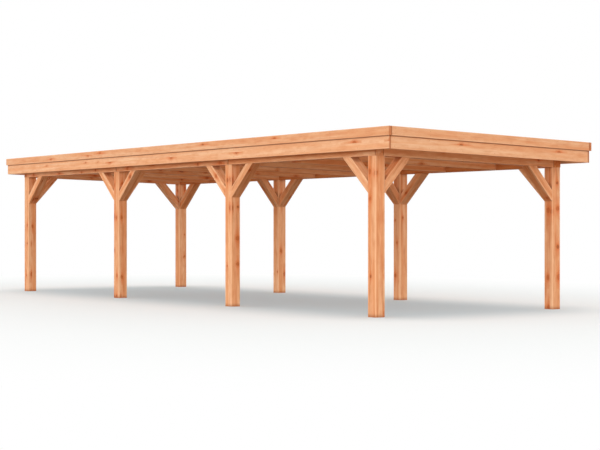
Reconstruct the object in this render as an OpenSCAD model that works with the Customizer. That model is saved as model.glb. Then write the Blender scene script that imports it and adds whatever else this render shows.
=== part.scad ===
// Open timber carport on two rows of posts, with a flat roof that falls gently from front row to back row.
// The length runs along X, the front row stands at -Y, and the origin is on the ground, in mid plan.

/* [Layout] */
// Number of bays along the length
bays = 3; // [1:1:4]
// Post centre to post centre along the length
bay_pitch = 3550; // [2000:10:4500]
// Front post centre to back post centre
row_pitch = 3475; // [2400:5:5000]
// Height of the front posts, up to the under side of the front beams
front_clear = 2230; // [1900:5:3000]
// How much lower the back posts are than the front posts
roof_fall = 75; // [20:5:200]

/* [Frame timbers] */
// Side of the square posts
post_w = 175; // [155:1:220]
// Width of the long beams and the end beams
beam_w = 150; // [90:1:170]
// Depth of the beams and joists
beam_h = 150; // [110:1:220]
// Gap where two long beams meet over a post
beam_gap = 2; // [0.5:0.5:6]
// Joists in each bay
joists_per_bay = 2; // [1:1:4]
// Width of a joist
joist_w = 70; // [40:1:120]
// Eased edge of the posts
post_arris = 12; // [2:1:25]
// Eased edge of the beams, joists and braces
arris = 4; // [1:0.5:8]

/* [Braces] */
// Width of a brace, across its run
brace_w = 160; // [80:1:170]
// Depth of a brace, square to its run
brace_d = 120; // [60:1:160]
// Height of a brace, from its toe on the post to the beam
brace_rise = 515; // [350:5:800]
// Reach of a brace along a row, from the post to its heel under the long beam
brace_reach = 565; // [350:5:800]
// Reach of a brace across an end, from the post to its heel under the end beam
end_brace_reach = 485; // [350:5:800]

/* [Roof] */
// Overhang of the lower fascia beyond the posts at the short ends
end_overhang = 455; // [200:5:700]
// Overhang of the lower fascia beyond the posts on the long sides
side_overhang = 137; // [80:1:400]
// Thickness of the roof boards
board_t = 28; // [18:1:45]
// Nominal width of the roof boards
board_w = 143; // [90:1:250]
// Gap between two roof boards
board_gap = 3; // [1:0.5:8]
// Bevel along the lower edges of the roof boards
board_bevel = 5; // [1:0.5:8]
// Thickness of the roof covering
covering_t = 4; // [2:0.5:10]
// Thickness of the kerb behind the fascia
kerb_t = 45; // [25:1:80]
// How far the kerb stays below the top of the fascia
kerb_drop = 20; // [5:1:60]

/* [Fascia] */
// Lower edge of the fascia above the under side of the beams
fascia_lift = 67; // [20:1:120]
// Height of the lower board
lower_h = 178; // [130:1:260]
// Thickness of the lower board
lower_t = 26; // [18:1:45]
// Height of the upper board
upper_h = 125; // [90:1:200]
// How far the upper board stands proud of the lower one
upper_proud = 24; // [8:1:45]

/* [Hidden] */
function numbered(name, count) = [for (i = [1:count]) str(name, "_", i)];

post_count = bays + 1;
joist_count = bays * joists_per_bay;

// The sides of the building: -1 is the front row or the far end, 1 the back row or the near end
front = -1;
back = 1;
far = -1;
near = 1;

// Frame outline over the outer faces of the posts, and the faces that carry the roof
frame_x = (bays * bay_pitch + post_w) / 2;
frame_y = (row_pitch + post_w) / 2;
beam_inner_y = frame_y - beam_w;
post_inner_y = frame_y - post_w;
back_clear = front_clear - roof_fall;
roof_grade = roof_fall / (post_inner_y + beam_inner_y);
roof_angle = atan(roof_grade);

// Outer faces of the lower fascia, and the kerb and boards inside it
fascia_x = frame_x + end_overhang;
fascia_y = frame_y + side_overhang;
deck_x = fascia_x - lower_t;
deck_y = fascia_y - lower_t;
kerb_inner_x = deck_x - kerb_t;
kerb_inner_y = deck_y - kerb_t;

// Heights above the sloping under side of the roof frame
deck_top = beam_h + board_t;
lower_top = fascia_lift + lower_h;
upper_top = lower_top + upper_h;
kerb_top = upper_top - kerb_drop;

// Under side of the roof frame: it meets the front posts at their inner face and the back beams at theirs
function under(y) = front_clear - roof_grade * (y + post_inner_y);
function post_x(i) = bay_pitch * (bays / 2 - (i - 1));
function joist_x(k) =
    let (bay = ceil(k / joists_per_bay), step = k - (bay - 1) * joists_per_bay)
    post_x(bay) - bay_pitch * step / (joists_per_bay + 1);

// Rectangle about the origin with its corners cut back by an eased edge
function eased(w, d, cut) = [
    for (q = [[1, 1], [-1, 1], [-1, -1], [1, -1]])
        for (end = q[0] * q[1] > 0 ? [0, 1] : [1, 0])
            [q[0] * (w / 2 - (end == 1 ? cut : 0)), q[1] * (d / 2 - (end == 0 ? cut : 0))]
];

// Section across the roof between two heights above its under side
function roof_band(y0, y1, low, high) =
    [[y0, under(y0) + low], [y1, under(y1) + low], [y1, under(y1) + high], [y0, under(y0) + high]];

// Section of a long beam: level and eased below, planed to the roof's fall on top
function beam_section(y0, y1, bottom) = [
    [y0 + arris, bottom], [y1 - arris, bottom], [y1, bottom + arris],
    [y1, under(y1) + beam_h], [y0, under(y0) + beam_h], [y0, bottom + arris]
];

// Section of a roof board, bevelled below so that two boards meet in a V
function board_section(y0, y1) = [
    [y0 + board_bevel, under(y0 + board_bevel) + beam_h],
    [y1 - board_bevel, under(y1 - board_bevel) + beam_h],
    [y1, under(y1) + beam_h + board_bevel], [y1, under(y1) + deck_top],
    [y0, under(y0) + deck_top], [y0, under(y0) + beam_h + board_bevel]
];

// Runs a section, drawn in Y and Z, along X
module along_x(x0, x1) {
    translate([x0, 0, 0]) rotate([90, 0, 90]) linear_extrude(x1 - x0) children();
}

// Timber with eased edges along X, its under side at z = 0
module stick(length, w, d) {
    along_x(0, length) translate([0, d / 2]) polygon(eased(w, d, arris));
}

module post(i, row) {
    height = row == front ? front_clear : back_clear;
    color([0.86, 0.63, 0.45])
        translate([post_x(i), row * row_pitch / 2, 0])
            linear_extrude(height) polygon(eased(post_w, post_w, post_arris));
}

// Long beam over bay i, flush with the outer face of the posts
module long_beam(i, row) {
    x0 = i == bays ? -frame_x : post_x(i + 1) + beam_gap / 2;
    x1 = i == 1 ? frame_x : post_x(i) - beam_gap / 2;
    color([0.84, 0.60, 0.42])
        along_x(x0, x1)
            polygon(row == front
                ? beam_section(-frame_y, -beam_inner_y, front_clear)
                : beam_section(beam_inner_y, frame_y, back_clear));
}

// Timber across the roof, laid to its fall and cut plumb against the long beams
module cross_timber(x, w) {
    intersection() {
        translate([x, -post_inner_y, front_clear])
            rotate([-roof_angle, 0, 0])
                translate([0, -post_w, 0])
                    rotate([0, 0, 90]) stick(row_pitch + post_w, w, beam_h * cos(roof_angle));
        translate([x - w, -beam_inner_y, 0]) cube([2 * w, 2 * beam_inner_y, front_clear + 2 * beam_h]);
    }
}

module end_beam(side) {
    color([0.80, 0.56, 0.39]) cross_timber(side * (frame_x - beam_w / 2), beam_w);
}

module joist(k) {
    color([0.76, 0.52, 0.36]) cross_timber(joist_x(k), joist_w);
}

// Brace along +X from a post face at x = 0, cut plumb at the post and to the slope of the beam above.
// The beam is at z = seat beside the post and rises by grade away from it.
module brace(reach, seat = 0, grade = 0) {
    angle = atan2(brace_rise, reach);
    run = norm([brace_rise, reach]) + brace_d;
    far_x = reach + run;
    intersection() {
        translate([0, 0, -brace_rise]) rotate([0, -angle, 0]) stick(run, brace_w, brace_d);
        translate([0, brace_w, 0]) rotate([90, 0, 0]) linear_extrude(2 * brace_w)
            polygon([[0, -run], [far_x, -run], [far_x, seat + grade * far_x], [0, seat]]);
    }
}

// The two braces of post i: along the row, and into the building at a corner post
module braces(i, row) {
    clear = row == front ? front_clear : back_clear;
    inward_seat = under(row * post_inner_y) - clear;
    color([0.85, 0.61, 0.43])
        translate([post_x(i), row * row_pitch / 2, clear]) {
            if (i < post_count)
                mirror([1, 0, 0]) translate([post_w / 2, 0, 0]) brace(brace_reach);
            if (i > 1)
                translate([post_w / 2, 0, 0]) brace(brace_reach);
            if (i == 1 || i == post_count)
                rotate([0, 0, -row * 90]) translate([post_w / 2, 0, 0])
                    brace(end_brace_reach, inward_seat, row * roof_grade);
        }
}

// Boards along the length, from fascia to fascia
module roof_boards() {
    count = round(2 * deck_y / board_w);
    pitch = 2 * deck_y / count;
    color([0.66, 0.45, 0.31])
        for (k = [1:count])
            along_x(-deck_x, deck_x)
                polygon(board_section(
                    -deck_y + (k - 1) * pitch, -deck_y + k * pitch - (k < count ? board_gap : 0)));
}

// Sheet over the boards, inside the kerb
module roof_covering() {
    color([0.20, 0.20, 0.21])
        along_x(-kerb_inner_x, kerb_inner_x)
            polygon(roof_band(-kerb_inner_y, kerb_inner_y, deck_top, deck_top + covering_t));
}

// Board along one long side between two Y values, given for the back
module long_board(row, y0, y1, half_length, low, high) {
    along_x(-half_length, half_length)
        polygon(row == back ? roof_band(y0, y1, low, high) : roof_band(-y1, -y0, low, high));
}

// Board across one short end between two X values, given for the near end
module short_board(side, x0, x1, half_width, low, high) {
    along_x(side == near ? x0 : -x1, side == near ? x1 : -x0)
        polygon(roof_band(-half_width, half_width, low, high));
}

module long_kerb(row) {
    color([0.72, 0.50, 0.35]) long_board(row, kerb_inner_y, deck_y, deck_x, deck_top, kerb_top);
}

module short_kerb(side) {
    color([0.72, 0.50, 0.35]) short_board(side, kerb_inner_x, deck_x, kerb_inner_y, deck_top, kerb_top);
}

module long_lower_fascia(row) {
    color([0.88, 0.66, 0.47]) long_board(row, deck_y, fascia_y, fascia_x, fascia_lift, lower_top);
}

module short_lower_fascia(side) {
    color([0.88, 0.66, 0.47]) short_board(side, deck_x, fascia_x, deck_y, fascia_lift, lower_top);
}

// The upper boards stand on the lower ones, against the kerb
module long_upper_fascia(row) {
    color([0.89, 0.67, 0.48])
        long_board(row, deck_y, fascia_y + upper_proud, fascia_x + upper_proud, lower_top, upper_top);
}

module short_upper_fascia(side) {
    color([0.89, 0.67, 0.48]) short_board(side, deck_x, fascia_x + upper_proud, deck_y, lower_top, upper_top);
}

for (i = [1:post_count]) {
    post(i, front);
    post(i, back);
    braces(i, front);
    braces(i, back);
}
for (i = [1:bays]) {
    long_beam(i, front);
    long_beam(i, back);
}
for (k = [1:joist_count]) {
    joist(k);
}
end_beam(near);  // end_beam_near
end_beam(far);  // end_beam_far
roof_boards();
roof_covering();
long_kerb(front);  // kerb_front
long_kerb(back);  // kerb_back
short_kerb(near);  // kerb_near
short_kerb(far);  // kerb_far
long_lower_fascia(front);  // lower_fascia_front
long_lower_fascia(back);  // lower_fascia_back
short_lower_fascia(near);  // lower_fascia_near
short_lower_fascia(far);  // lower_fascia_far
long_upper_fascia(front);  // upper_fascia_front
long_upper_fascia(back);  // upper_fascia_back
short_upper_fascia(near);  // upper_fascia_near
short_upper_fascia(far);  // upper_fascia_far
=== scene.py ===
"""Looks of an open timber carport: planed softwood, a two-step fascia and a sheet roof, on a pale floor."""
import math
import random

import bmesh
import bpy
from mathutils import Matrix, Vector, noise


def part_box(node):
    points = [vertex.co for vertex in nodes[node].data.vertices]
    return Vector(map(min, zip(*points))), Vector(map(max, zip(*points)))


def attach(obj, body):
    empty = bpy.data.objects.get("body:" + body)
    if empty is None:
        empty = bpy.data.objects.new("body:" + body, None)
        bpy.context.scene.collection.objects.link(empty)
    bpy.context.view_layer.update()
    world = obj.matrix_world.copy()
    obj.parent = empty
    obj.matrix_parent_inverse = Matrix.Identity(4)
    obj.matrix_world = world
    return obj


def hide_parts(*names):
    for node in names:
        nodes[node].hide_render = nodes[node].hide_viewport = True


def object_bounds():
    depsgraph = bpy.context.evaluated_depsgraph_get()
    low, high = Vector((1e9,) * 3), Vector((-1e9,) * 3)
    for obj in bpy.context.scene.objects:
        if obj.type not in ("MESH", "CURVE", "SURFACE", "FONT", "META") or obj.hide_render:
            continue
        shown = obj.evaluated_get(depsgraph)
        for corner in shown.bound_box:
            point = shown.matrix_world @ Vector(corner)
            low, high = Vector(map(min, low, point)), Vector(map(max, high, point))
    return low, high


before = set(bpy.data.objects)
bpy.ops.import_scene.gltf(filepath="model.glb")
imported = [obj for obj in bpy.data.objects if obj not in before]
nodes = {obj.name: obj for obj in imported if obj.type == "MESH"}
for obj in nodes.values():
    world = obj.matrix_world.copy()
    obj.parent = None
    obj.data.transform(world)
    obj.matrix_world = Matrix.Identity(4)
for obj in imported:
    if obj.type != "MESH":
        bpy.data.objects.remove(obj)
cad_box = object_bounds()

# A full turn in radians, and a right angle in degrees
TURN = 2 * math.pi
RIGHT_ANGLE = 90

# Camera, in metres and degrees, its lens in millimetres: it stands off the near corner and looks level
CAMERA_PLACE = (20.957, -14.678, 1.2223)
CAMERA_TURN = 53.364
CAMERA_LENS = 87.93
CAMERA_SENSOR = 36.0
HORIZON_SHIFT = 0.00627

# Surround: its level overhead, low down all round and low down in front, and how the low ring fades
OVERHEAD_LEVEL = 0.55
AROUND_LEVEL = 2.65
FRONT_LEVEL = 3.7
RING_FOOT = 0.08
RING_FALL = 2.6
FRONT_SIDE = (0.30, -0.95, 0.10)

# Low fills without shadows: name, strength and turn in degrees, and how steeply they fall, in degrees
FILLS = (("end_fill", 0.70, 80.0), ("front_fill", 0.68, 5.0))
FILL_DROP = 25.0
FILL_COLOUR = (1.0, 0.86, 0.71)

# Floor, in metres: its colours as seen, darker and cooler under the roof as a painted shadow, and the warm
# light it gives back, under the roof and outside it
FLOOR_REACH = 150.0
FLOOR_SIDES = 64
FLOOR_OPEN = (0.94, 0.98, 1.0, 1.0)
FLOOR_SHADOWED_UNDER = (0.66, 0.76, 0.81, 1.0)
BOUNCE_OPEN = (0.31, 0.20, 0.12, 1.0)
BOUNCE_UNDER = (0.16, 0.09, 0.045, 1.0)
UNDER_INSET = 0.9
UNDER_FADE = (0.0, 2.0)
WHITE_FADE = (3.0, 9.0)

# Pith of a timber, in metres: its wander, its bends a metre, and the length of stock that timbers come from
PITH_WANDER = 0.050
PITH_BENDS = 0.6
PITH_DETAIL = 2.0
TIMBER_STOCK = 90.0

# How far the pith lies from the middle of a section, level across it and square to that, in metres
BOXED_HEART = ((0.0, 0.03), (0.0, 0.03))
HALF_HEART = ((0.02, 0.06), (0.02, 0.06))
STANDING_BOARD = ((0.05, 0.12), (0.0, 0.04))
LYING_BOARD = ((0.0, 0.04), (0.05, 0.12))

# Growth rings: how ragged they are and how far knots bend them, in rings, and where late wood ends in a ring
RINGS_A_METRE = 150.0
RING_RAGGED = 4.0
RING_BEND = 3.0
RING_END = (0.92, 1.0)

# Whorls of branches along the pith, in metres, and the share of a branch's stretch that stays clear beside it
WHORL_PITCH = 0.48
WHORL_BRANCHES = 5
WHORL_MARGIN = 0.3
WHORL_SEED = 0.5

# Knots, in metres: least and greatest radius, scatter and squeeze along the grain, and ragged outline
KNOT_GIRTH = (0.011, 0.033)
KNOT_SCATTER = 0.06
KNOT_RAGGED = 0.9
KNOT_SQUEEZE = 0.55
FLAME_SQUEEZE = 0.02
KNOT_CHANCE_STEP = (0.0, 0.01)

# Where the masks of a knot begin and end, in knot radii, and the ages between which its heart turns dark
HEART_STEP = (0.75, 1.0)
RIM_INSIDE = (0.60, 0.92)
RIM_OUTSIDE = (1.0, 1.25)
COLLAR_STEP = (0.8, 2.8)
FLAME_STEP = (0.3, 1.7)
DARK_KNOTS = (0.70, 0.90)

# Noise drawn out along the grain: counts a metre along it and across it, detail and roughness
NOISE_MIDDLE = 0.5
RAGGED_RINGS = (1.1, 14.0, 3.0)
RAGGED_KNOTS = (40.0, 60.0)
FIBRES = (7.0, 420.0, 3.0, 0.6)
FIBRE_STEP = (0.46, 0.80)

# Figures of the wood: such noise, and the levels of it between which the figure comes up
BAND = ((0.5, 15.0), (0.32, 0.68))
MOTTLE = ((6.0, 16.0, 4.0, 0.6), (0.40, 0.72))
BLOTCH = ((3.2, 24.0, 3.0), (0.44, 0.74))
STREAK = ((1.6, 46.0), (0.58, 0.78))

# How strongly each figure and each part of a knot colours the wood
LATE_SHARE = 0.24
MOTTLE_SHARE = 0.26
BLOTCH_SHARE = 0.46
FIBRE_SHARE = 0.20
STREAK_SHARE = 0.60
TONE_SHARE = 0.5
FLAME_SHARE = 0.55
COLLAR_SHARE = 0.62
HEART_SHARE = 0.60
RIM_SHARE = 0.18

# Cut ends: the rings that show on them, and the dark lines beside a joint, in metres in from the edge
CUT_RING_STEP = (0.1, 0.9)
CUT_RING_SHARE = 0.5
CUT_JOINT = (0.014, 0.006)
CUT_JOINT_SHARE = 0.60
END_JOINT = (0.006, 0.015)
# Painted shadow line along the top of the lower fascia, under the board above it, in metres in from its edge
SEAM_SHADOW_LINE = (0.018, 0.011)

# Worn edges, also painted pale as a highlight where the arris catches light, and damp feet, in metres, with
# their ragged outlines
WORN_LIT_EDGE = (0.0, 0.012)
WORN_LIT_RAGGED = 0.006
WORN_LIT_SHARE = 0.45
DAMP_RISE = (0.0, 0.05)
DAMP_RAGGED = 0.02

# Painted shade in the corners between timbers, where an ambient occlusion node finds them closed in: how far
# it reaches out of them, in metres, and how dark it is.
# The step is the open share of the view at which it is full and gone
CORNER_SHADE_STEP = (0.30, 0.95)
CORNER_SAMPLES = 32
ROOF_CORNER_SHADE = (0.24, 0.42)
END_BEAM_CORNER_SHADE = (0.24, 0.16)
JOIST_CORNER_SHADE = (0.10, 0.55)
BOARD_CORNER_SHADE = (0.40, 0.80)
JOINT_CORNER_SHADE = (0.09, 0.60)

# Surface of the wood: its roughness and relief, with what its figures change in them
WOOD_ROUGH = 0.60
FIBRE_ROUGH = 0.16
LATE_SMOOTH = 0.06
END_ROUGH = 0.10
WOOD_GLOSS = 0.14
LATE_RELIEF = 0.35
FIBRE_RELIEF = 0.55
RIM_RELIEF = 0.25
WOOD_BUMP = (0.0009, 0.6)

# Surface of the roofing sheet: dust as noise counts a metre, detail and roughness, and a finer grit
DUST_NOISE = (1.4, 6.0, 0.65)
DUST_STEP = (0.45, 0.80)
DUST_SHARE = 0.45
DUST_ROUGH = 0.25
GRIT_COUNT = 180.0
GRIT_RELIEF = 0.3
SHEET_ROUGH = 0.55
SHEET_GLOSS = 0.35
SHEET_BUMP = (0.002, 0.5)

# Surface of the screws
BRONZE_COUNT = 900.0
BRONZE_ROUGH = 0.36
BRONZE_WORN = 0.2

# Roofing sheet, in metres: waves with their counts a metre along and across the roof, and glued laps
SHEET_THICK = 0.003
SHEET_GRID = 0.12
WAVE_HEIGHT = 0.0022
WAVE_COUNTS = (1.1, 2.3)
WAVE_EDGE = 0.25
LAP_PITCH = 2.90
LAP_WIDTH = 0.10
LAP_STEP = 0.002

# Its turned-up edge, in metres: steps out from the kerb's face, heights, and whether they start at its top
SHEET_UPTURN = ((-0.060, 0.0, False), (-0.034, 0.003, False), (-0.016, 0.012, False), (-0.007, 0.030, False),
                (-0.004, 0.060, False), (-0.004, -0.006, True), (-0.002, 0.002, True), (0.004, 0.004, True),
                (0.038, 0.004, True), (0.043, 0.003, True))

# Screws: radius of the head in metres, and its rings as shares of that: radius, height and depth of lobes
FASCIA_SCREW = 0.0045
BRACE_SCREW = 0.007
SCREW_SIDES = 24
SCREW_LOBES = 6
SCREW_RINGS = ((1.0, 0.0, 0.0), (0.96, 0.10, 0.0), (0.50, 0.14, 0.0), (0.38, 0.14, 0.06), (0.34, 0.02, 0.06))

# Where the screws stand, in metres, and how flat the face that takes a brace's screws is
FASCIA_PITCH = 0.60
SCREW_EDGE = 0.034
SCREW_END = 0.070
BRACE_SCREW_END = 0.060
BRACE_SCREW_SPREAD = 0.038
SCREW_FLAT = 0.0005

# Reach of the braces across the roof at the middle posts, as a share of that at the ends
MIDDLE_REACH = 0.80

# Edges, in metres and degrees: the chamfers of the CAD timbers, and the finer easing of every sharp edge
POST_ARRIS = 0.012
ARRIS = 0.004
EASED_EDGE = 0.0012
EASED_STEPS = 2
EASED_ANGLE = 30.0

# Reading the CAD timbers: metres and decimals within which places are the same, the angle in degrees up to
# which a crease is flat, the rise of an upright grain, and how far a cut end faces along the grain
WELD_GAP = 0.00001
SAME_PLACE = 5
FLAT_ANGLE = 2.0
UPRIGHT_RISE = 0.9
END_FACING = 0.5

# Colour sockets of Blender's Mix node
MIX_COLOURS = (6, 7)
MIX_RESULT = 2


def srgb(red, green, blue):
    """Linear colour of a screen colour given in 0 to 255."""
    def linear(value):
        share = value / 255
        return share / 12.92 if share <= 0.04045 else ((share + 0.055) / 1.055) ** 2.4
    return (linear(red), linear(green), linear(blue), 1.0)


# Colours of the planed softwood, the sheet and the screws
PALE_WOOD = srgb(250, 206, 165)
WARM_WOOD = srgb(238, 169, 119)
CLEAR_PALE = srgb(243, 202, 164)
CLEAR_WARM = srgb(237, 180, 136)
# Darker, redder wood for the back beams: painted shade for their place up under the roof
SHADED_RED_PALE = srgb(232, 164, 108)
SHADED_RED_WARM = srgb(214, 132, 76)
# Darker, redder wood for the roof boards: painted shade for the underside of the roof
SHADED_CEILING_PALE = srgb(228, 156, 100)
SHADED_CEILING_WARM = srgb(206, 126, 72)
LATE_WOOD = srgb(214, 128, 74)
STREAK_WOOD = srgb(186, 98, 50)
FLAME_WOOD = srgb(216, 118, 62)
KNOT_RED = srgb(184, 92, 48)
KNOT_DARK = srgb(122, 58, 30)
END_WOOD = srgb(192, 120, 78)
DULL_TINT = srgb(232, 212, 196)
SHEET_GREY = srgb(52, 54, 57)
SHEET_DUST = srgb(96, 96, 93)
BRONZE_BRIGHT = srgb(214, 150, 104)
BRONZE_DULL = srgb(180, 118, 76)
WHITE = (1.0, 1.0, 1.0, 1.0)


class Wire:
    """An output socket of a finish. Sums, products and powers of wires add Math nodes."""

    def __init__(self, finish, socket):
        self.finish = finish
        self.socket = socket

    def __getitem__(self, name):
        return Wire(self.finish, self.socket.node.outputs[name])

    def maths(self, operation, first, second=0.0):
        return self.finish.add("Math", {"operation": operation}, {0: first, 1: second})

    def __add__(self, other):
        return self.maths("ADD", self, other)

    def __sub__(self, other):
        return self.maths("SUBTRACT", self, other)

    def __mul__(self, other):
        return self.maths("MULTIPLY", self, other)

    def __truediv__(self, other):
        return self.maths("DIVIDE", self, other)

    def __pow__(self, other):
        return self.maths("POWER", self, other)

    def __rsub__(self, other):
        return self.maths("SUBTRACT", other, self)

    def __rtruediv__(self, other):
        return self.maths("DIVIDE", other, self)

    def __rpow__(self, other):
        return self.maths("POWER", other, self)

    __radd__ = __add__
    __rmul__ = __mul__

    def __abs__(self):
        return self.maths("ABSOLUTE", self)

    def whole(self):
        return self.maths("FLOOR", self)

    def fraction(self):
        return self.maths("FRACT", self)

    def most(self, other):
        return self.maths("MAXIMUM", self, other)

    def angle(self, other):
        return self.maths("ARCTAN2", self, other)


class Finish:
    """A node tree being made, for a material or the world."""

    def __init__(self, owner):
        self.owner = owner
        owner.use_nodes = True
        self.tree = owner.node_tree
        self.tree.nodes.clear()

    def add(self, kind, settings=None, sockets=None, output=0):
        """One node: its settings first, then the values or links of its sockets."""
        node = self.tree.nodes.new("ShaderNode" + kind)
        for name, value in (settings or {}).items():
            setattr(node, name, value)
        for key, value in (sockets or {}).items():
            if isinstance(value, Wire):
                self.tree.links.new(value.socket, node.inputs[key])
            else:
                node.inputs[key].default_value = value
        return Wire(self, node.outputs[output]) if node.outputs else None

    def attribute(self, name):
        return self.add("Attribute", {"attribute_name": name})

    def place(self):
        return self.add("TexCoord")["Object"]

    def split(self, vector):
        parts = self.add("SeparateXYZ", None, {0: vector})
        return parts["X"], parts["Y"], parts["Z"]

    def noise(self, vector, scale, detail=2.0, roughness=0.5):
        return self.add("TexNoise", None,
                        {"Vector": vector, "Scale": scale, "Detail": detail, "Roughness": roughness})["Fac"]

    def fibres(self, grain, run, width, detail=2.0, roughness=0.5):
        """Noise drawn out along the grain, from its counts a metre along it and across it."""
        drawn = self.add("VectorMath", {"operation": "MULTIPLY"}, {0: grain, 1: (run, width, width)})
        return self.noise(drawn, 1.0, detail, roughness)

    def figure(self, grain, drawing, step):
        """Mask that comes up between two levels of a noise along the grain."""
        return self.smooth(self.fibres(grain, *drawing), *step)

    def luck(self, first, second):
        """Three random numbers for each pair of whole numbers."""
        pair = self.add("CombineXYZ", None, {"X": first, "Y": second})
        grains = self.add("TexWhiteNoise", {"noise_dimensions": "2D"}, {"Vector": pair})
        return self.split(grains["Color"])

    def smooth(self, value, low, high):
        """Soft step from 0 at low to 1 at high."""
        return self.add("MapRange", {"interpolation_type": "SMOOTHSTEP"},
                        {"Value": value, "From Min": low, "From Max": high})

    def blend(self, share, first, second, mode="MIX"):
        """Mix of two colours."""
        into, other = MIX_COLOURS
        return self.add("Mix", {"data_type": "RGBA", "blend_type": mode},
                        {0: share, into: first, other: second}, output=MIX_RESULT)

    def bump(self, height, distance, strength):
        return self.add("Bump", None, {"Height": height, "Distance": distance, "Strength": strength})

    def either(self, share, first, second):
        """Mix of two shaders."""
        return self.add("MixShader", None, {0: share, 1: first, 2: second})

    def surface(self, shader):
        self.add("OutputMaterial", None, {"Surface": shader})
        return self.owner


def new_finish(name):
    return Finish(bpy.data.materials.new(name))


def wandering_pith(f, along, across, up):
    """Places across the timber, counted from a pith that wanders along it."""
    drift = f.add("TexNoise", {"noise_dimensions": "1D"},
                  {"W": along * PITH_BENDS, "Scale": 1.0, "Detail": PITH_DETAIL})
    drift_x, drift_y, _ = f.split(drift["Color"])
    off_x = across + (drift_x - NOISE_MIDDLE) * PITH_WANDER
    off_y = up + (drift_y - NOISE_MIDDLE) * PITH_WANDER
    return off_x, off_y


def branch_knots(f, grain, along, off_x, off_y, radius, share):
    """Masks of the knots where branches leave the pith in whorls: heart, rim, red collar, flame and age."""
    def within(luck):
        """Place of a branch in its own stretch, clear of both sides."""
        return WHORL_MARGIN + luck * (1 - 2 * WHORL_MARGIN)

    step = along / WHORL_PITCH
    turn = off_y.angle(off_x) * (WHORL_BRANCHES / TURN)
    lift, _, _ = f.luck(step.whole(), WHORL_SEED)
    chance, place, size = f.luck(step.whole(), turn.whole())
    girth = KNOT_GIRTH[0] + size * (KNOT_GIRTH[1] - KNOT_GIRTH[0])
    high = (step.fraction() - within(lift)) * WHORL_PITCH + (place - NOISE_MIDDLE) * KNOT_SCATTER
    wide = (turn.fraction() - within(place)) * (TURN / WHORL_BRANCHES) * radius
    kept = f.smooth(share - chance, *KNOT_CHANCE_STEP)
    uneven = 1.0 + (f.fibres(grain, *RAGGED_KNOTS) - NOISE_MIDDLE) * KNOT_RAGGED
    ratio = (high * high * KNOT_SQUEEZE + wide * wide) ** 0.5 / girth * uneven
    drawn = (high * high * FLAME_SQUEEZE + wide * wide) ** 0.5 / girth * uneven
    heart = (1.0 - f.smooth(ratio, *HEART_STEP)) * kept
    rim = f.smooth(ratio, *RIM_INSIDE) * (1.0 - f.smooth(ratio, *RIM_OUTSIDE)) * kept
    collar = (1.0 - f.smooth(ratio, *COLLAR_STEP)) * kept
    flame = (1.0 - f.smooth(drawn, *FLAME_STEP)) * kept
    return heart, rim, collar, flame, chance / share


def late_wood(f, grain, radius, collar):
    """Dark part of the growth rings, which bend round the knots."""
    ragged = f.fibres(grain, *RAGGED_RINGS)
    ring = (radius * RINGS_A_METRE + ragged * RING_RAGGED + collar * collar * RING_BEND).fraction()
    return ring * ring * (1.0 - f.smooth(ring, *RING_END))


def wood_figure(f, grain, colours, late, fibre, streaks):
    """Colour of clear wood: broad bands, rings, blotches, fine fibres and short dark streaks along it."""
    colour = f.blend(f.figure(grain, *BAND), *colours)
    colour = f.blend(late * LATE_SHARE, colour, LATE_WOOD)
    colour = f.blend(f.figure(grain, *MOTTLE) * MOTTLE_SHARE, colour, LATE_WOOD)
    colour = f.blend(f.figure(grain, *BLOTCH) * streaks * BLOTCH_SHARE, colour, LATE_WOOD)
    colour = f.blend(f.smooth(fibre, *FIBRE_STEP) * FIBRE_SHARE, colour, LATE_WOOD)
    return f.blend(f.figure(grain, *STREAK) * streaks * STREAK_SHARE, colour, STREAK_WOOD)


def painted_corner_shade(f, reach):
    """Mask of painted shade: 1 deep in the corners between timbers, 0 on open faces."""
    clear = f.add("AmbientOcclusion", {"samples": CORNER_SAMPLES}, {"Distance": reach})["AO"]
    return 1.0 - f.smooth(clear, *CORNER_SHADE_STEP)


def inwards(edge, insets):
    """Places some insets in from an edge."""
    return [edge - inset for inset in insets]


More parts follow.
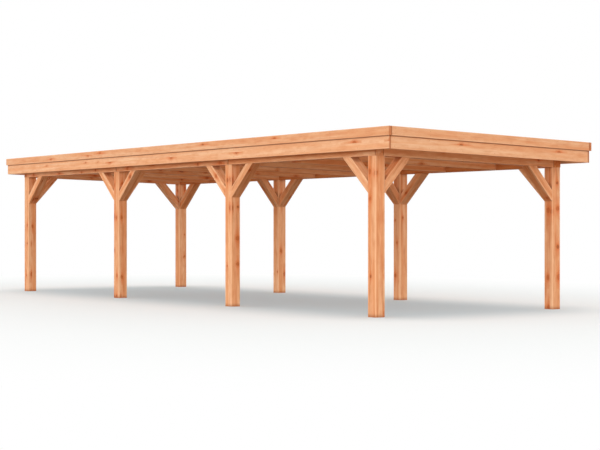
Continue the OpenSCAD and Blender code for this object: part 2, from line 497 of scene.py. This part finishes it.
def planed_timber(name, half, colours, knots=0.4, streaks=1.0, arris=0.0, end_shade=0.35, foot=0.0,
                  seam_shadow=0.0, joint=0.0, shade_in_corners=ROOF_CORNER_SHADE):
    """Planed softwood: growth rings, streaks, knots, cut ends, worn edges with a painted highlight, and
    painted shade.

    half is half the section's width and depth, and colours are its early wood and its red wood.
    knots is the share of its branches that show, and foot is how dark damp makes its foot.
    seam_shadow is how dark the painted shadow line is along its upper edge, and joint how dark the joint
    lines are along its cut ends.
    shade_in_corners is how far painted shade reaches out of its corners, and how dark it is there."""
    f = new_finish(name)
    grain = f.attribute("grain")["Vector"]
    along, across, up = f.split(grain)
    side, rise, tone = f.split(f.attribute("section")["Vector"])
    stretch, half_length, _ = f.split(f.attribute("stretch")["Vector"])
    ends = f.attribute("end_grain")["Fac"]
    off_x, off_y = wandering_pith(f, along, across, up)
    radius = (off_x * off_x + off_y * off_y) ** 0.5
    heart, rim, collar, flame, age = branch_knots(f, grain, along, off_x, off_y, radius, knots)
    late = late_wood(f, grain, radius, collar)
    fibre = f.fibres(grain, *FIBRES)

    # Clear wood, duller in some timbers, and its knots, the oldest of them dark
    colour = wood_figure(f, grain, colours, late, fibre, streaks)
    colour = f.blend(tone * TONE_SHARE, colour, DULL_TINT, "MULTIPLY")
    colour = f.blend(flame * FLAME_SHARE, colour, FLAME_WOOD)
    colour = f.blend(collar * COLLAR_SHARE, colour, FLAME_WOOD)
    colour = f.blend(heart * HEART_SHARE, colour, f.blend(f.smooth(age, *DARK_KNOTS), KNOT_RED, KNOT_DARK))
    colour = f.blend(rim * RIM_SHARE, colour, KNOT_DARK)

    # Cut ends are darker, most of all along the joint on their inner side, and so are faces beside a joint
    cut = f.blend(f.smooth(late, *CUT_RING_STEP) * CUT_RING_SHARE, END_WOOD, STREAK_WOOD)
    colour = f.blend(ends * end_shade, colour, cut)
    inner_line = f.smooth(0.0 - side, *inwards(half[0], CUT_JOINT)) * ends
    colour = f.blend(inner_line * CUT_JOINT_SHARE, colour, KNOT_DARK)
    beside_joint = (1.0 - f.smooth(half_length - abs(stretch), *END_JOINT)) * (1.0 - ends)
    colour = f.blend(beside_joint * joint, colour, KNOT_DARK)

    # Eased edges are worn pale and painted lighter as a highlight, and posts take up damp at the foot
    edge = (half[0] - abs(side)) + (half[1] - abs(rise)) - arris
    worn = (1.0 - f.smooth(edge + (fibre - NOISE_MIDDLE) * WORN_LIT_RAGGED, *WORN_LIT_EDGE)) * (1.0 - ends)
    colour = f.blend(worn * WORN_LIT_SHARE, colour, colours[0])
    _, _, height = f.split(f.place())
    damp = 1.0 - f.smooth(height + (fibre - NOISE_MIDDLE) * DAMP_RAGGED, *DAMP_RISE)
    colour = f.blend(damp * foot, colour, STREAK_WOOD)
    # Painted shadow line along the upper edge, under the board above it
    colour = f.blend(f.smooth(rise, *inwards(half[1], SEAM_SHADOW_LINE)) * seam_shadow, colour, KNOT_DARK)
    # Painted shade darkens the colour in the corners between timbers
    shade_reach, shade_depth = shade_in_corners
    colour = f.blend(painted_corner_shade(f, shade_reach) * shade_depth, colour, KNOT_DARK)

    rough = WOOD_ROUGH + fibre * FIBRE_ROUGH - late * LATE_SMOOTH + ends * END_ROUGH
    relief = late * LATE_RELIEF + fibre * FIBRE_RELIEF - rim * RIM_RELIEF
    shader = f.add("BsdfPrincipled", None, {
        "Base Color": colour, "Roughness": rough, "Specular IOR Level": WOOD_GLOSS,
        "Normal": f.bump(relief, *WOOD_BUMP)})
    return f.surface(shader)


def rubber_sheet():
    """Dark roofing sheet with a faint grain and dust."""
    f = new_finish("roofing_sheet")
    dust = f.noise(f.place(), *DUST_NOISE)
    grit = f.noise(f.place(), GRIT_COUNT)
    shader = f.add("BsdfPrincipled", None, {
        "Base Color": f.blend(f.smooth(dust, *DUST_STEP) * DUST_SHARE, SHEET_GREY, SHEET_DUST),
        "Roughness": SHEET_ROUGH + dust * DUST_ROUGH, "Specular IOR Level": SHEET_GLOSS,
        "Normal": f.bump(grit * GRIT_RELIEF + dust, *SHEET_BUMP)})
    return f.surface(shader)


def bronzed_steel():
    """Screw heads with a brown coating, a little dull."""
    f = new_finish("bronzed_steel")
    worn = f.noise(f.place(), BRONZE_COUNT)
    shader = f.add("BsdfPrincipled", None, {
        "Base Color": f.blend(worn, BRONZE_BRIGHT, BRONZE_DULL), "Metallic": 1.0,
        "Roughness": BRONZE_ROUGH + worn * BRONZE_WORN})
    return f.surface(shader)


def link(obj):
    bpy.context.scene.collection.objects.link(obj)
    return obj


def new_piece(name, bm):
    """New object with the mesh that was made in bm."""
    mesh = bpy.data.meshes.new(name)
    bm.to_mesh(mesh)
    bm.free()
    return link(bpy.data.objects.new(name, mesh))


def longest_sharp_edge(edges):
    """Direction of the longest edge that isn't a crease inside a flat face."""
    flat = math.radians(FLAT_ANGLE)
    sharp = [e for e in edges if len(e.link_faces) == 2 and e.calc_face_angle(0.0) > flat]
    longest = max(sharp, key=lambda e: e.calc_length())
    return (longest.verts[1].co - longest.verts[0].co).normalized()


def separate_solids(mesh):
    """The solids of a node: for each, its corner places and the direction of its longest edge."""
    bm = bmesh.new()
    bm.from_mesh(mesh)
    bmesh.ops.remove_doubles(bm, verts=bm.verts, dist=WELD_GAP)
    solids = []
    waiting = set(bm.verts)
    while waiting:
        seed = min(waiting, key=lambda v: v.index)
        found = {seed}
        rim = [seed]
        while rim:
            vertex = rim.pop()
            for edge in vertex.link_edges:
                other = edge.other_vert(vertex)
                if other not in found:
                    found.add(other)
                    rim.append(other)
        waiting -= found
        corners = sorted(found, key=lambda v: v.index)
        edges = dict.fromkeys(e for v in corners for e in v.link_edges)
        solids.append(([v.co.copy() for v in corners], longest_sharp_edge(edges)))
    bm.free()
    return solids


def grain_axes(corners, direction):
    """Axes of a timber: along its grain, level across it and outwards, and square to both, upwards."""
    along = direction if max(direction, key=abs) > 0 else -direction
    upright = abs(along.z) > UPRIGHT_RISE
    across = Vector((1, 0, 0)) if upright else along.cross(Vector((0, 0, 1))).normalized()
    if sum(corner.dot(across) for corner in corners) < 0:
        across = -across
    square = along.cross(across)
    return along, across, square if square.z > 0 else -square


def place_key(point):
    return tuple(round(value, SAME_PLACE) for value in point)


def lay_grain(obj, pith):
    """Gives every solid of a node its own stretch of timber: places along and round the grain, and cut ends.

    pith is how far the pith may lie from the middle of the section, level across it and square to that."""
    mesh = obj.data
    home = {}
    for number, (corners, direction) in enumerate(separate_solids(mesh)):
        luck = random.Random(f"{obj.name} {number}")
        axes = grain_axes(corners, direction)
        spans = [[corner.dot(axis) for corner in corners] for axis in axes]
        middle = [(min(span) + max(span)) / 2 for span in spans]
        half_length = max(spans[0]) - middle[0]
        shift = [luck.uniform(0, TIMBER_STOCK)]
        shift += [luck.choice((-1, 1)) * luck.uniform(*reach) for reach in pith]
        tone = luck.random()
        for corner in corners:
            home[place_key(corner)] = (axes, middle, shift, tone, half_length)
    grain = mesh.attributes.new("grain", "FLOAT_VECTOR", "POINT")
    section = mesh.attributes.new("section", "FLOAT_VECTOR", "POINT")
    stretch = mesh.attributes.new("stretch", "FLOAT_VECTOR", "POINT")
    for vertex in mesh.vertices:
        axes, middle, shift, tone, half_length = home[place_key(vertex.co)]
        local = [vertex.co.dot(axis) - centre for axis, centre in zip(axes, middle)]
        grain.data[vertex.index].vector = [value + offset for value, offset in zip(local, shift)]
        section.data[vertex.index].vector = (local[1], local[2], tone)
        stretch.data[vertex.index].vector = (local[0], half_length, 0.0)
    ends = mesh.attributes.new("end_grain", "FLOAT", "FACE")
    for face in mesh.polygons:
        axes = home[place_key(mesh.vertices[face.vertices[0]].co)][0]
        ends.data[face.index].value = 1.0 if abs(face.normal.dot(axes[0])) > END_FACING else 0.0


def ease_edges(obj):
    """Softens the sharp edges without touching the node's own corners."""
    weld = obj.modifiers.new("weld", "WELD")
    weld.merge_threshold = WELD_GAP
    bevel = obj.modifiers.new("ease", "BEVEL")
    bevel.width = EASED_EDGE
    bevel.segments = EASED_STEPS
    bevel.limit_method = "ANGLE"
    bevel.angle_limit = math.radians(EASED_ANGLE)
    bevel.harden_normals = False
    normals = obj.modifiers.new("normals", "WEIGHTED_NORMAL")
    normals.keep_sharp = True


def half_section(node):
    """Half the width and half the depth of a node's first timber."""
    corners, direction = separate_solids(nodes[node].data)[0]
    _, across, square = grain_axes(corners, direction)
    spans = [[corner.dot(axis) for corner in corners] for axis in (across, square)]
    return [(max(span) - min(span)) / 2 for span in spans]


def named(start):
    return sorted(name for name in nodes if name.startswith(start))


def timbers(start):
    return [nodes[name] for name in named(start)]


def dress(pieces, material, pith):
    for piece in pieces:
        piece.data.materials.clear()
        piece.data.materials.append(material)
        lay_grain(piece, pith)
        ease_edges(piece)


def middle_x(node):
    low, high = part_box(node)
    return (low.x + high.x) / 2


def covering_top():
    """Height of the covering's upper side, as a function of the place across the roof."""
    corners = [vertex.co for vertex in nodes["roof_covering"].data.vertices]
    front = max((corner for corner in corners if corner.y < 0), key=lambda corner: corner.z)
    back = max((corner for corner in corners if corner.y > 0), key=lambda corner: corner.z)
    grade = (back.z - front.z) / (back.y - front.y)
    return lambda y: front.z + (y - front.y) * grade


def repeat_timbers(name, sources, shift, start=-math.inf):
    """New piece: the solids of some nodes again, a shift further along the building.

    Only what lies beyond start along X is repeated."""
    bm = bmesh.new()
    for source in sources:
        bm.from_mesh(nodes[source].data)
    bmesh.ops.delete(bm, geom=[vertex for vertex in bm.verts if vertex.co.x < start], context="VERTS")
    bmesh.ops.translate(bm, verts=bm.verts, vec=Vector((shift, 0, 0)))
    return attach(new_piece(name, bm), "root")


def stand_steeper(piece):
    """Draws the heads of braces across the roof in towards their posts, along the under side of the beam."""
    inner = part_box("post_back_1")[0].y
    top = covering_top()
    for vertex in piece.data.vertices:
        y = vertex.co.y
        vertex.co.y = y + (math.copysign(inner, y) - y) * (1 - MIDDLE_REACH)
        vertex.co.z += top(vertex.co.y) - top(y)
    return piece


def middle_frames():
    """Beams across the roof at the middle posts like those of the ends, and the steeper braces under them."""
    corner = middle_x("post_front_1")
    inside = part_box("post_front_1")[0].x + WELD_GAP
    corner_braces = ["braces_front_1", "braces_back_1"]
    beams = []
    braces = []
    for number in range(2, len(named("post_front_"))):
        place = middle_x(f"post_front_{number}")
        beam = repeat_timbers(f"middle_beam_{number}", ["end_beam_near"], place - middle_x("end_beam_near"))
        beams.append(beam)
        pair = repeat_timbers(f"middle_braces_{number}", corner_braces, place - corner, inside)
        braces.append(stand_steeper(pair))
    return beams, braces


def dress_frame(middle_beams, middle_braces):
    """Posts, beams, joists and braces."""
    softwood = (PALE_WOOD, WARM_WOOD)
    shaded_red_wood = (SHADED_RED_PALE, SHADED_RED_WARM)
    post = planed_timber("post_timber", half_section("post_front_1"), softwood, knots=0.5, arris=POST_ARRIS,
                         foot=0.35, shade_in_corners=JOINT_CORNER_SHADE)
    dress(timbers("post_"), post, BOXED_HEART)
    beam_half = half_section("beam_front_2")
    butted = {"arris": ARRIS, "end_shade": 0.0, "joint": 0.8}
    front_beam = planed_timber("beam_timber", beam_half, softwood, **butted)
    dress(timbers("beam_front_"), front_beam, BOXED_HEART)
    # The back beams take the darker red palette, painted shade for where they stand under the roof
    back_beam = planed_timber("back_beam_timber", beam_half, shaded_red_wood, **butted)
    dress(timbers("beam_back_"), back_beam, BOXED_HEART)
    quiet = {"arris": ARRIS, "streaks": 0.4}
    end_beam = planed_timber("end_beam_timber", beam_half, softwood, end_shade=0.0, shade_in_corners=END_BEAM_CORNER_SHADE,
                             **quiet)
    dress(timbers("end_beam_") + middle_beams, end_beam, BOXED_HEART)
    joist = planed_timber("joist_timber", half_section("joist_1"), softwood, shade_in_corners=JOIST_CORNER_SHADE, **quiet)
    dress(timbers("joist_"), joist, STANDING_BOARD)
    brace = planed_timber("brace_timber", half_section("braces_front_1"), softwood, arris=ARRIS,
                          shade_in_corners=JOINT_CORNER_SHADE)
    dress(timbers("braces_") + middle_braces, brace, HALF_HEART)


def dress_roof():
    """Fascia boards, kerbs, roof boards and the sheet."""
    clear_wood = (CLEAR_PALE, CLEAR_WARM)
    fascia = {"knots": 0.12, "end_shade": 0.8, "joint": 0.2}
    lower = planed_timber("lower_fascia_timber", half_section("lower_fascia_front"), clear_wood,
                          streaks=0.5, seam_shadow=0.50, **fascia)
    dress(timbers("lower_fascia_"), lower, STANDING_BOARD)
    upper = planed_timber("upper_fascia_timber", half_section("upper_fascia_front"), clear_wood,
                          streaks=0.7, **fascia)
    dress(timbers("upper_fascia_"), upper, STANDING_BOARD)
    kerb = planed_timber("kerb_timber", half_section("kerb_front"), (PALE_WOOD, WARM_WOOD))
    dress(timbers("kerb_"), kerb, STANDING_BOARD)
    # Roof boards take the darker palette, painted shade for the underside of the roof
    shaded_ceiling = planed_timber("roof_board_timber", half_section("roof_boards"), (SHADED_CEILING_PALE, SHADED_CEILING_WARM),
                            shade_in_corners=BOARD_CORNER_SHADE)
    dress([nodes["roof_boards"]], shaded_ceiling, LYING_BOARD)
    rubber = rubber_sheet()
    covering = nodes["roof_covering"]
    covering.data.materials.clear()
    covering.data.materials.append(rubber)
    membrane = roofing_membrane()
    membrane.data.materials.append(rubber)
    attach(membrane, "root")
    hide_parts("roof_covering")


def evenly(low, high, pitch):
    """Places from low to high, about a pitch apart."""
    count = max(1, round((high - low) / pitch))
    return [low + (high - low) * step / count for step in range(count + 1)]


def roofing_membrane():
    """One sheet over the roof boards, with glued laps, turned up the kerbs and over their tops."""
    top = covering_top()
    inner_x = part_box("kerb_near")[0].x
    inner_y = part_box("kerb_back")[0].y
    kerb_low, kerb_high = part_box("kerb_front")
    rise = kerb_high.z - top(kerb_low.y)
    upturn = [(reach, height + rise if lifted else height) for reach, height, lifted in SHEET_UPTURN]
    field_x = inner_x + upturn[0][0]
    field_y = inner_y + upturn[0][0]

    def lap(x):
        """Height of the glued lap over a place along the roof, none next to the ends."""
        along = x + field_x
        if not LAP_WIDTH < along < 2 * field_x - LAP_WIDTH:
            return 0.0
        return LAP_STEP * max(0.0, 1 - along % LAP_PITCH / LAP_WIDTH)

    def waves(x, y):
        """Height of the low waves, which die out at the edges."""
        edge = min(1.0, (field_x - abs(x)) / WAVE_EDGE, (field_y - abs(y)) / WAVE_EDGE)
        return WAVE_HEIGHT * edge * noise.noise(Vector((x * WAVE_COUNTS[0], y * WAVE_COUNTS[1], 0.0)))

    laps = [edge for step in range(1, int(2 * field_x / LAP_PITCH) + 1)
            for edge in (step * LAP_PITCH - field_x - LAP_STEP, step * LAP_PITCH - field_x)]
    columns = sorted(set(evenly(-field_x, field_x, SHEET_GRID) + laps))
    rows = evenly(-field_y, field_y, SHEET_GRID)
    bm = bmesh.new()
    field = [[bm.verts.new((x, y, top(y) + waves(x, y) + lap(x))) for y in rows] for x in columns]
    for left, right in zip(field, field[1:]):
        for step in range(len(rows) - 1):
            bm.faces.new((left[step], right[step], right[step + 1], left[step + 1]))
    loop = ([column[0] for column in field[:-1]] + field[-1][:-1]
            + [column[-1] for column in reversed(field[1:])] + list(reversed(field[0][1:])))
    ring = loop
    for reach, height in upturn[1:]:
        wide_x = (inner_x + reach) / field_x
        wide_y = (inner_y + reach) / field_y
        spots = [(vertex.co.x * wide_x, vertex.co.y * wide_y) for vertex in loop]
        outer = [bm.verts.new((x, y, top(y) + height)) for x, y in spots]
        for step, vertex in enumerate(ring):
            following = (step + 1) % len(ring)
            bm.faces.new((vertex, outer[step], outer[following], ring[following]))
        ring = outer
    sheet = new_piece("roofing_membrane", bm)
    body = sheet.modifiers.new("thickness", "SOLIDIFY")
    body.thickness = SHEET_THICK
    body.offset = -1
    return sheet


def add_screw(bm, place, facing, size):
    """Sunk head with a lobed recess, a hair proud of a face."""
    side = facing.orthogonal().normalized()
    other = facing.cross(side)

    def ring(radius, height, lobes):
        spots = []
        for step in range(SCREW_SIDES):
            turn = TURN * step / SCREW_SIDES
            reach = size * (radius + lobes * math.cos(SCREW_LOBES * turn))
            spots.append(bm.verts.new(place + side * reach * math.cos(turn) + other * reach * math.sin(turn)
                                      + facing * size * height))
        return spots

    rings = [ring(*shape) for shape in SCREW_RINGS]
    for low, high in zip(rings, rings[1:]):
        for step in range(SCREW_SIDES):
            following = (step + 1) % SCREW_SIDES
            bm.faces.new((low[step], low[following], high[following], high[step]))
    bm.faces.new(rings[-1])


def fascia_screw_places():
    """Two screws at each fixing, in both boards, all round the roof."""
    top = covering_top()
    for board in ("lower_fascia", "upper_fascia"):
        front_low, front_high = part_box(board + "_front")
        rows = (front_low.z - top(front_low.y) + SCREW_EDGE, front_high.z - top(front_low.y) - SCREW_EDGE)
        for end, outward in (("front", -1), ("back", 1)):
            low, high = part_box(f"{board}_{end}")
            y = high.y if outward > 0 else low.y
            for x in evenly(low.x + SCREW_END, high.x - SCREW_END, FASCIA_PITCH):
                for row in rows:
                    yield Vector((x, y, top(y) + row)), Vector((0, outward, 0))
        for end, outward in (("near", 1), ("far", -1)):
            low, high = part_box(f"{board}_{end}")
            x = high.x if outward > 0 else low.x
            for y in evenly(low.y + SCREW_END, high.y - SCREW_END, FASCIA_PITCH):
                for row in rows:
                    yield Vector((x, y, top(y) + row)), Vector((outward, 0, 0))


def brace_screw_places(braces):
    """Two screws through the under side of each brace, near both of its ends."""
    for piece in braces:
        for corners, direction in separate_solids(piece.data):
            along, across, square = grain_axes(corners, direction)
            down = -square
            lowest = max(corner.dot(down) for corner in corners)
            face = [corner for corner in corners if corner.dot(down) > lowest - SCREW_FLAT]
            spans = [corner.dot(along) for corner in face]
            middle = sum(corner.dot(across) for corner in face) / len(face)
            for stand in (min(spans) + BRACE_SCREW_END, max(spans) - BRACE_SCREW_END):
                for aside in (-BRACE_SCREW_SPREAD, BRACE_SCREW_SPREAD):
                    yield along * stand + across * (middle + aside) + down * lowest, down


def drive_screws(name, places, size, finish):
    bm = bmesh.new()
    for place, facing in places:
        add_screw(bm, place, facing, size)
    screws = new_piece(name, bm)
    screws.data.materials.append(finish)
    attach(screws, "root")


def fix_screws(braces):
    """Screws of the fascia boards and the braces."""
    finish = bronzed_steel()
    drive_screws("fascia_screws", fascia_screw_places(), FASCIA_SCREW, finish)
    drive_screws("brace_screws", brace_screw_places(braces), BRACE_SCREW, finish)


def seen_by(f):
    """1 for the rays that show the background itself, 0 for those that carry its light."""
    path = f.add("LightPath")
    return path["Is Camera Ray"].most(path["Is Glossy Ray"]).most(path["Is Transmission Ray"])


def pale_floor():
    """Round floor that shows the soft shadow, deepened under the roof by a painted shadow, and turns white
    away from the posts.
    """
    bm = bmesh.new()
    bmesh.ops.create_circle(bm, cap_ends=True, radius=FLOOR_REACH, segments=FLOOR_SIDES)
    floor = new_piece("floor", bm)
    f = new_finish("pale_floor")
    seen = seen_by(f)
    x, y, _ = f.split(f.place())

    def matt(colour):
        return f.add("BsdfDiffuse", None, {"Color": colour})

    def outside(inset):
        """Distance out from the roof's plan, drawn in by inset."""
        beyond_x = (abs(x) - (cad_box[1][0] - inset)).most(0.0)
        beyond_y = (abs(y) - (cad_box[1][1] - inset)).most(0.0)
        return (beyond_x * beyond_x + beyond_y * beyond_y) ** 0.5

    open_share = f.smooth(outside(UNDER_INSET), *UNDER_FADE)
    bounce = f.either(open_share, matt(BOUNCE_UNDER), matt(BOUNCE_OPEN))
    white = f.add("Emission", None, {"Color": WHITE, "Strength": 1.0})
    # Under the roof the floor is seen darker and cooler: a painted shadow over the cast one
    shown = f.either(open_share, matt(FLOOR_SHADOWED_UNDER), matt(FLOOR_OPEN))
    shown = f.either(f.smooth(outside(0.0), *WHITE_FADE), shown, white)
    floor.data.materials.append(f.surface(f.either(seen, bounce, shown)))


def soft_sky():
    """White surround, brighter low down and towards the front, seen as plain white."""
    f = Finish(bpy.context.scene.world or bpy.data.worlds.new("soft_sky"))
    bpy.context.scene.world = f.owner
    towards = f.add("TexCoord")["Generated"]
    facing = f.add("VectorMath", {"operation": "DOT_PRODUCT"},
                   {0: towards, 1: Vector(FRONT_SIDE).normalized()}, output="Value")
    _, _, height = f.split(towards)

    def glow(level):
        return f.add("Background", None, {"Color": WHITE, "Strength": level})

    low = f.either(facing.most(0.0), glow(AROUND_LEVEL), glow(FRONT_LEVEL))
    ring = f.smooth(height, 0.0, RING_FOOT) * (1.0 - height.most(0.0)) ** RING_FALL
    light = f.either(ring, glow(OVERHEAD_LEVEL), low)
    f.add("OutputWorld", None, {"Surface": f.either(seen_by(f), light, glow(1.0))})


def low_fills():
    """Weak low lights from the near end and the front, which also reach the timbers up under the roof."""
    for name, level, turn in FILLS:
        lamp = bpy.data.lights.new(name, "SUN")
        lamp.energy = level
        lamp.color = FILL_COLOUR
        lamp.use_shadow = False
        fill = link(bpy.data.objects.new(name, lamp))
        fill.rotation_euler = (math.radians(RIGHT_ANGLE - FILL_DROP), 0, math.radians(turn))


def photo_camera():
    """Level camera, its picture shifted so that the horizon lies as in the photograph."""
    data = bpy.data.cameras.new("camera")
    data.sensor_width = CAMERA_SENSOR
    data.lens = CAMERA_LENS
    data.shift_y = HORIZON_SHIFT
    data.clip_end = 2 * FLOOR_REACH
    camera = link(bpy.data.objects.new("camera", data))
    camera.location = CAMERA_PLACE
    camera.rotation_euler = (math.radians(RIGHT_ANGLE), 0, math.radians(CAMERA_TURN))
    bpy.context.scene.camera = camera


photo_camera()
soft_sky()
low_fills()
pale_floor()
middle_beams, middle_braces = middle_frames()
dress_frame(middle_beams, middle_braces)
dress_roof()
fix_screws(timbers("braces_") + middle_braces)
bpy.context.scene.view_settings.view_transform = "Standard"
